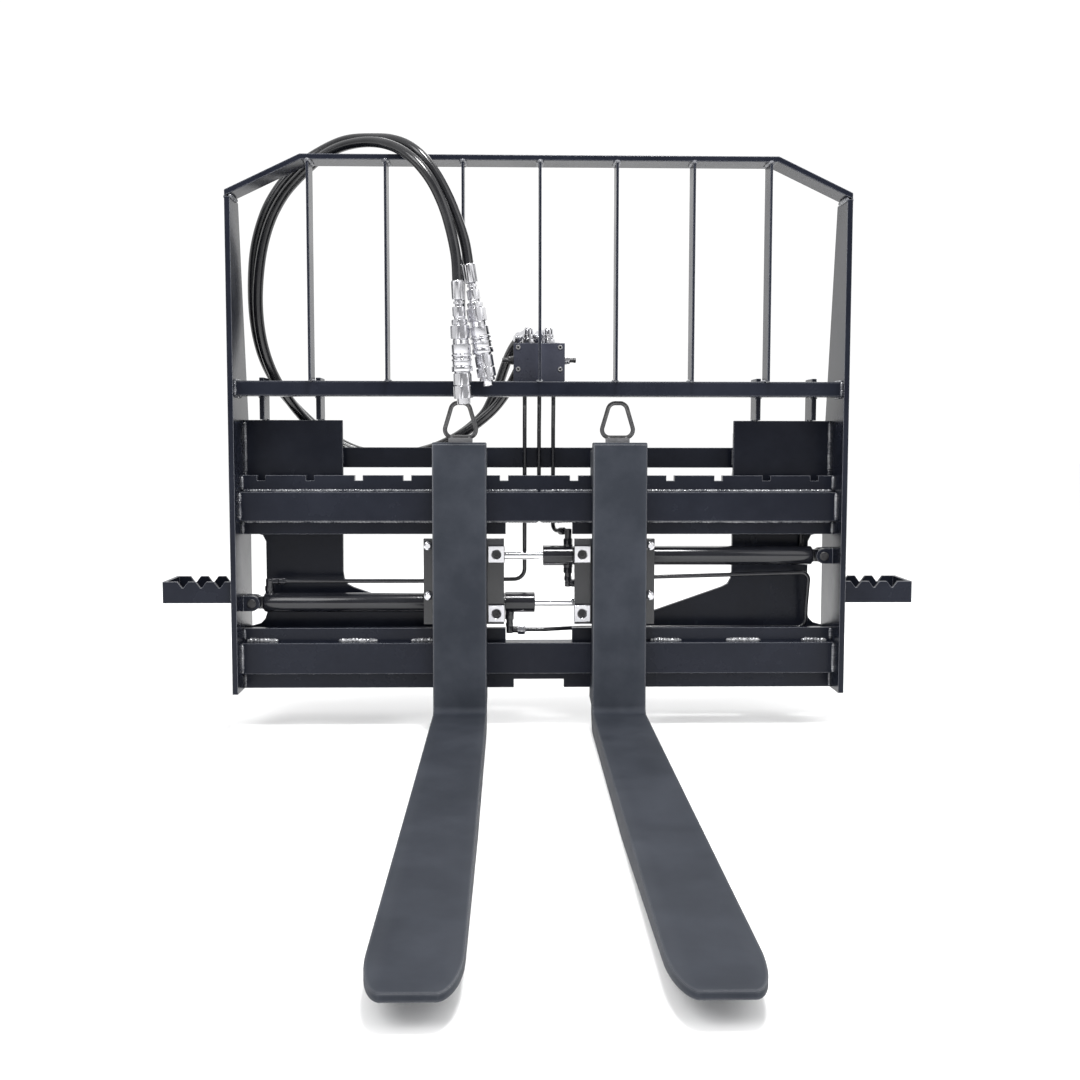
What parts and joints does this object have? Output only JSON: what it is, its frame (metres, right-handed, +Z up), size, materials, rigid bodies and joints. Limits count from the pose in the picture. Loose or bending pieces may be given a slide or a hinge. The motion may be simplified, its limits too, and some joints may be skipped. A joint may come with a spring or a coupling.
{
  "type": "pallet fork attachment",
  "caption": "Pallet fork attachment with hydraulically spread forks on a hook-on carriage, load guard, side steps, quick-attach plates and supply hoses with couplers.",
  "frame": {"origin": "on the floor, under the middle of the rigid assembly's box, between the forks", "axes": "+Z up, forks point along -Y, +X to the right as seen from in front of the fork tips"},
  "size_m": [1.4, 1.42, 1.1135],
  "materials": {
    "frame_paint": "semi-gloss blue-black paint",
    "fork_paint": "satin grey paint",
    "black_paint": "semi-gloss black paint",
    "chrome": "hard chrome, polished",
    "zinc": "bright zinc plate",
    "raw_steel": "dull bare steel",
    "hose_rubber": "smooth black hose cover"
  },
  "bodies": {
    "frame": {"side_plate_left": "frame_paint", "side_plate_right": "frame_paint", "guard_top_bar": "frame_paint", "guard_bar_1": "frame_paint", "guard_bar_2": "frame_paint", "guard_bar_3": "frame_paint", "guard_bar_4": "frame_paint", "guard_bar_5": "frame_paint", "guard_bar_6": "frame_paint", "guard_bar_7": "frame_paint", "guard_mid_bar": "frame_paint", "guard_rib_1": "frame_paint", "guard_rib_2": "frame_paint", "guard_rib_3": "frame_paint", "guard_rib_4": "frame_paint", "corner_plate_left": "frame_paint", "corner_plate_right": "frame_paint", "hook_crossbar": "frame_paint", "upper_rail_flat": "frame_paint", "upper_rail_face_bar": "frame_paint", "lower_rail_flat": "frame_paint", "lower_rail_face_bar": "frame_paint", "coupler_plate_left": "frame_paint", "coupler_plate_right": "frame_paint", "step_left": "frame_paint", "step_right": "frame_paint", "barrel_upper": "black_paint", "barrel_lower": "black_paint", "gland_upper": "black_paint", "gland_lower": "black_paint", "cylinder_pin_upper": "zinc", "cylinder_pin_lower": "zinc", "valve_block": "black_paint", "valve_bracket": "frame_paint", "valve_elbow_1": "zinc", "valve_elbow_2": "zinc", "tube_left_cap": "black_paint", "tube_right_cap": "black_paint", "tube_upper_gland": "black_paint", "tube_link": "black_paint", "hose_a": "hose_rubber", "hose_b": "hose_rubber", "coupler_a": "zinc", "coupler_b": "zinc"},
    "left_fork": {"fork_left": "fork_paint", "carrier_left": "black_paint", "clamp_block_left_upper": "zinc", "clamp_block_left_lower": "zinc", "rod_upper": "chrome"},
    "right_fork": {"fork_right": "fork_paint", "carrier_right": "black_paint", "clamp_block_right_upper": "zinc", "clamp_block_right_lower": "zinc", "rod_lower": "chrome"},
    "latch_left": {"latch_left": "raw_steel"},
    "latch_right": {"latch_right": "raw_steel"},
    "sleeve_a": {"coupler_sleeve_a": "zinc"},
    "sleeve_b": {"coupler_sleeve_b": "zinc"}
  },
  "joints": [
    {"name": "left_fork_slide", "type": "slide", "parent": "frame", "child": "left_fork", "axis": [-1, 0, 0], "range_m": [0, 0.22]},
    {"name": "right_fork_slide", "type": "slide", "parent": "frame", "child": "right_fork", "axis": [1, 0, 0], "range_m": [0, 0.22]},
    {"name": "left_latch_lift", "type": "slide", "parent": "left_fork", "child": "latch_left", "axis": [0, 0, 1], "range_m": [0, 0.01], "stiffness_N_per_m": 900, "springref_m": -0.006},
    {"name": "right_latch_lift", "type": "slide", "parent": "right_fork", "child": "latch_right", "axis": [0, 0, 1], "range_m": [0, 0.01], "stiffness_N_per_m": 900, "springref_m": -0.006},
    {"name": "sleeve_a_retract", "type": "slide", "parent": "frame", "child": "sleeve_a", "axis": [-0.1618, -0.0005, 0.9868], "range_m": [0, 0.007], "stiffness_N_per_m": 1500, "springref_m": -0.003},
    {"name": "sleeve_b_retract", "type": "slide", "parent": "frame", "child": "sleeve_b", "axis": [-0.0495, -0.0234, 0.9985], "range_m": [0, 0.007], "stiffness_N_per_m": 1500, "springref_m": -0.003}
  ],
  "couplings": [
    {"joint": "right_fork_slide", "follows": "left_fork_slide", "ratio": 1}
  ]
}
